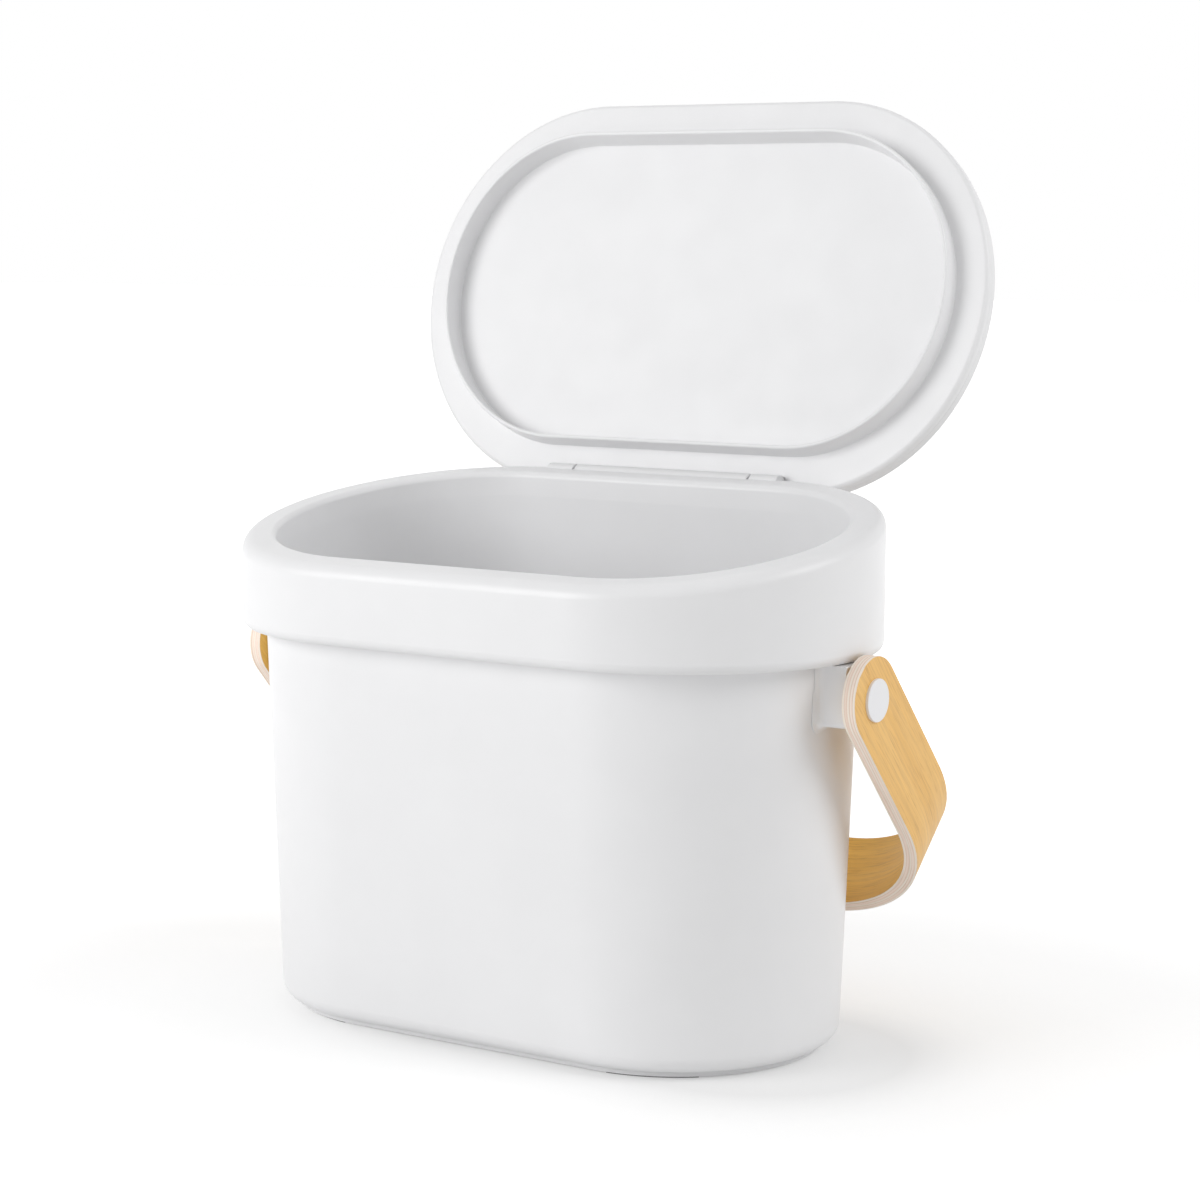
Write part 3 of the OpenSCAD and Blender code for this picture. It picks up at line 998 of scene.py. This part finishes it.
# %% [markdown]
# ## Wood
# The faces of the strap are golden, straight-grained veneer under a very thin clear coat. The
# grain is noise on the UV map, stretched some thirty times along the strap: wide bands of tone,
# fine fibres, and short dark pores. The cut edges show the sheets as pale stripes, so the edge
# finish takes its colour from the depth through the strap, and only a little from fibres. A
# grain on the piece's own coordinates would be simpler, but it would run straight through the
# bends.

# %% Veneer faces
def tint(share, warmth=0.0):
    """A grey to multiply by, a little warmer where warmth is over 0."""
    return [share, share * (1 - warmth / 2), share * (1 - warmth), 1]


BANDS = (4, 110, 1)  # lumps per metre along and across the strap
FIBRES = (24, 800, 1)
PORES = (65, 1400, 1)
fibre_height = 0.012 * MM


def veneer(name, dark, mid, light, offset):
    """Straight-grained wood. Dark, mid and light are the tones of its bands."""
    material, shader = new_finish(name, Coat_Weight=0.06, Coat_Roughness=0.35)
    bands = noise(material, "UV", BANDS, 3, 0.55, offset)
    fibres = noise(material, "UV", FIBRES, 4, 0.75, offset)
    pores = noise(material, "UV", PORES, 2, 0.6, offset)
    wood = ramp(material, bands, (0.34, dark), (0.50, mid), (0.66, light))
    streaks = ramp(material, fibres, (0.36, tint(0.88, 0.07)), (0.50, tint(0.99, 0.01)),
                   (0.64, tint(1.05)))
    dashes = ramp(material, pores, (0.56, tint(1)), (0.66, tint(0.86, 0.1)))
    wood = multiply(material, multiply(material, wood, streaks), dashes)
    connect(material, wood, shader.inputs["Base Color"])
    connect(material, spread(material, fibres, 0.42, 0.56), shader.inputs["Roughness"])
    relief(material, shader, fibres, fibre_height)
    return material


golden_face = veneer("golden_face", paint(234, 185, 105), paint(238, 190, 111),
                     paint(242, 196, 118), (3, 5, 0))
# The innermost sheet: the same veneer in a deeper, warmer gold, painted shade for the inner face.
deep_face = veneer("deep_face", paint(240, 187, 86), paint(245, 193, 92),
                   paint(250, 200, 101), (8, 1, 0))

# %% Veneer edges
striped_edge, shader = new_finish("striped_edge", Roughness=0.62)
seam_wander = 0.16 * MM
wander = noise(striped_edge, "UV", (14, 260, 1), 2, 0.5, (1, 4, 0))
wander = spread(striped_edge, wander, -seam_wander, seam_wander)
depth = maths(striped_edge, "ADD", split_place(striped_edge, "UV")["Y"], wander)
depth = maths(striped_edge, "DIVIDE", depth, plies * ply)

cream, pale, pink = paint(255, 245, 232), paint(255, 241, 227), paint(255, 236, 221)
seam = paint(246, 222, 205)
stripes = ramp(striped_edge, depth, (0.0, seam),
               (0.04, cream), (0.14, cream), (0.20, seam),
               (0.26, pink), (0.35, pale), (0.40, seam),
               (0.46, cream), (0.55, pale), (0.60, seam),
               (0.66, pink), (0.75, pink), (0.80, seam),
               (0.86, cream), (0.96, cream), (1.0, seam))
lines = noise(striped_edge, "UV", (30, 1500, 1), 3, 0.6, (2, 2, 0))
lines = ramp(striped_edge, lines, (0.36, paint(242, 237, 232)), (0.55, paint(255, 255, 255)))
connect(striped_edge, multiply(striped_edge, stripes, lines), shader.inputs["Base Color"])
relief(striped_edge, shader, lines, fibre_height)

# %% [markdown]
# ## Every piece gets its finish
# A finish goes into a piece's material slots. The sheets of the strap have two: the first for
# the broad faces and the second for the cut edges, which were told apart while a sheet lay
# flat. The innermost sheet's face takes a deeper, warmer gold: painted shade for the inner face.

# %% Coat the pieces and the imported parts that stay
def coat(piece, *materials):
    """Gives a piece its finishes, and keeps which face has the first and which the second."""
    while len(piece.data.materials) < len(materials):
        piece.data.materials.append(None)
    for place, material in enumerate(materials):
        piece.data.materials[place] = material


for piece in (bucket, collar, block, left_block):
    coat(piece, white_body)
coat(cover, white_cover)
coat(panel, white_lid)
for piece in (cap, left_cap):
    coat(piece, white_cap)
for sheet in sheets:
    coat(sheet, deep_face if sheet == sheets[-1] else golden_face, striped_edge)
packed_finishes = {"foot": grey_rubber, "hinge_pin": brushed_steel, "pivot_pin": brushed_steel,
                   "pivot_washer": pale_nylon}
for item in bpy.data.objects:
    for start, material in packed_finishes.items():
        if item.name.startswith(start) and item.type == "MESH":
            coat(item, material)
            print(item.name, "is", material.name)

# %% [markdown]
# ## The table, the light and the camera
# A white object on a white table is shaped by shade alone, so the light is soft: a broad lamp
# at the front left, a higher and wider one at the right, and an even room. The table catches a
# true shadow. Only what the camera sees directly of it is lifted towards white, more so far
# away, so that it has no horizon. Near the foot it is lifted less: there a contact shadow is
# painted, deeper to the right, away from the lamp at the front left.
# The light that it throws back on the caddy stays plain. The camera stands a third of the way
# from the front to the right side and a little above, with a long lens, as such things are
# shown in a shop's catalogue.

# %% Table
table_size = 24
bpy.ops.object.select_all(action="DESELECT")
bpy.ops.mesh.primitive_plane_add(size=table_size, location=(0, 0, 0))
table = bpy.context.object
table.name = "table"
print("table", table_size, "m across")


def seen_directly(material):
    """1 for what the camera, a reflection or glass looks at, 0 for light on the part."""
    rays = add_node(material, "LightPath", {}).outputs
    seen = maths(material, "MAXIMUM", rays["Is Camera Ray"], rays["Is Glossy Ray"])
    return maths(material, "MAXIMUM", seen, rays["Is Transmission Ray"])


def track_distance(material, middle_x):
    """How far a place on the table is from the middle line of a track round middle_x."""
    place = split_place(material, "Object")
    along = maths(material, "ABSOLUTE", maths(material, "SUBTRACT", place["X"], middle_x))
    along = maths(material, "MAXIMUM", maths(material, "SUBTRACT", along, straight / 2), 0)
    flat = add_node(material, "CombineXYZ", {0: along, 1: place["Y"]})
    return add_node(material, "VectorMath", {0: flat.outputs[0]},
                    operation="LENGTH").outputs["Value"]


# %% What the camera sees of the table
# The painted contact shadow is written as millimetres beyond the foot ring, and how much white
# is added there: the less white, the darker the painted shadow. Its track is moved to the right,
# away from the lamp at the front left, so the painted shadow is deeper on that side.
painted_shadow_lean = 38 * MM
painted_shadow_reach = 300
painted_shadow_lifts = ((0, 0.38), (8, 0.43), (20, 0.49), (35, 0.54), (60, 0.57), (100, 0.60),
         (painted_shadow_reach, 0.65))
far_start, far_end, far_white = 0.2, 0.9, 0.4
thrown_tone, seen_tone = paint(238, 238, 238), paint(186, 186, 186)

table_white, shader = new_finish("table_white", Roughness=0.9, Specular_IOR_Level=0.1)
out = track_distance(table_white, painted_shadow_lean)
beyond_ring = spread(table_white, out, 0, 1, ring_out, ring_out + painted_shadow_reach * MM)
# Painted contact shadow: near the foot ring less white is added, so the table is darker there.
lift_with_painted_shadow = ramp(table_white, beyond_ring,
                 *[(beyond / painted_shadow_reach, [lift] * 3 + [1]) for beyond, lift in painted_shadow_lifts])
far_lift = spread(table_white, out, 0, far_white, far_start, far_end)
direct = seen_directly(table_white)
lift = maths(table_white, "MULTIPLY", maths(table_white, "ADD", lift_with_painted_shadow, far_lift), direct)
connect(table_white, lift, shader.inputs["Emission Strength"])
shader.inputs["Emission Color"].default_value = (1, 1, 1, 1)
tone = add_node(table_white, "Mix", {"Factor": direct, 6: thrown_tone, 7: seen_tone},
                data_type="RGBA")
connect(table_white, tone.outputs[2], shader.inputs["Base Color"])
coat(table, table_white)

# %% Room
room_light, room_white = 0.51, 1.0
room = bpy.data.worlds.new("room")
bpy.context.scene.world = room
room.use_nodes = True
background = room.node_tree.nodes["Background"]
background.inputs["Color"].default_value = (1, 1, 1, 1)
room_level = spread(room, seen_directly(room), room_light, room_white, 0, 1)
connect(room, room_level, background.inputs["Strength"])
print("room lights the caddy with", room_light)

# %% Lamps
lamp_aim = Vector((0, 0, 0.15))


def lamp(name, place, size, watts):
    """A round soft lamp. Place and size are in metres."""
    bpy.ops.object.select_all(action="DESELECT")
    bpy.ops.object.light_add(type="AREA", location=place)
    light = bpy.context.object
    light.name = name
    light.data.shape = "DISK"
    light.data.size = size
    light.data.energy = watts
    light.rotation_euler = (lamp_aim - Vector(place)).to_track_quat("-Z", "Y").to_euler()
    print(name, watts, "W")


lamp("key", place=(-0.7, -1.1, 0.62), size=0.9, watts=8.7)
lamp("fill", place=(1.7, 0.45, 1.3), size=1.2, watts=14)

# %% Camera
camera_aim = Vector((20.90, 0, 168.18)) * MM
camera_turn, camera_height, camera_roll = (math.radians(a) for a in (33.685, 7.036, 0.262))
camera_away = 1150.45 * MM
camera_lens, camera_film = 89.106, 36
camera_place = camera_aim + camera_away * Vector((
    math.sin(camera_turn) * math.cos(camera_height),
    -math.cos(camera_turn) * math.cos(camera_height), math.sin(camera_height)))
bpy.ops.object.camera_add(location=camera_place)
camera = bpy.context.object
camera.data.lens = camera_lens
camera.data.sensor_width = camera_film
look = (camera_aim - camera_place).to_track_quat("-Z", "Y")
camera.rotation_euler = (look.to_matrix() @ Matrix.Rotation(camera_roll, 3, "Z")).to_euler()
bpy.context.scene.camera = camera
bpy.context.scene.view_settings.view_transform = "Standard"
print("camera at", [round(v, 3) for v in camera_place], "m")
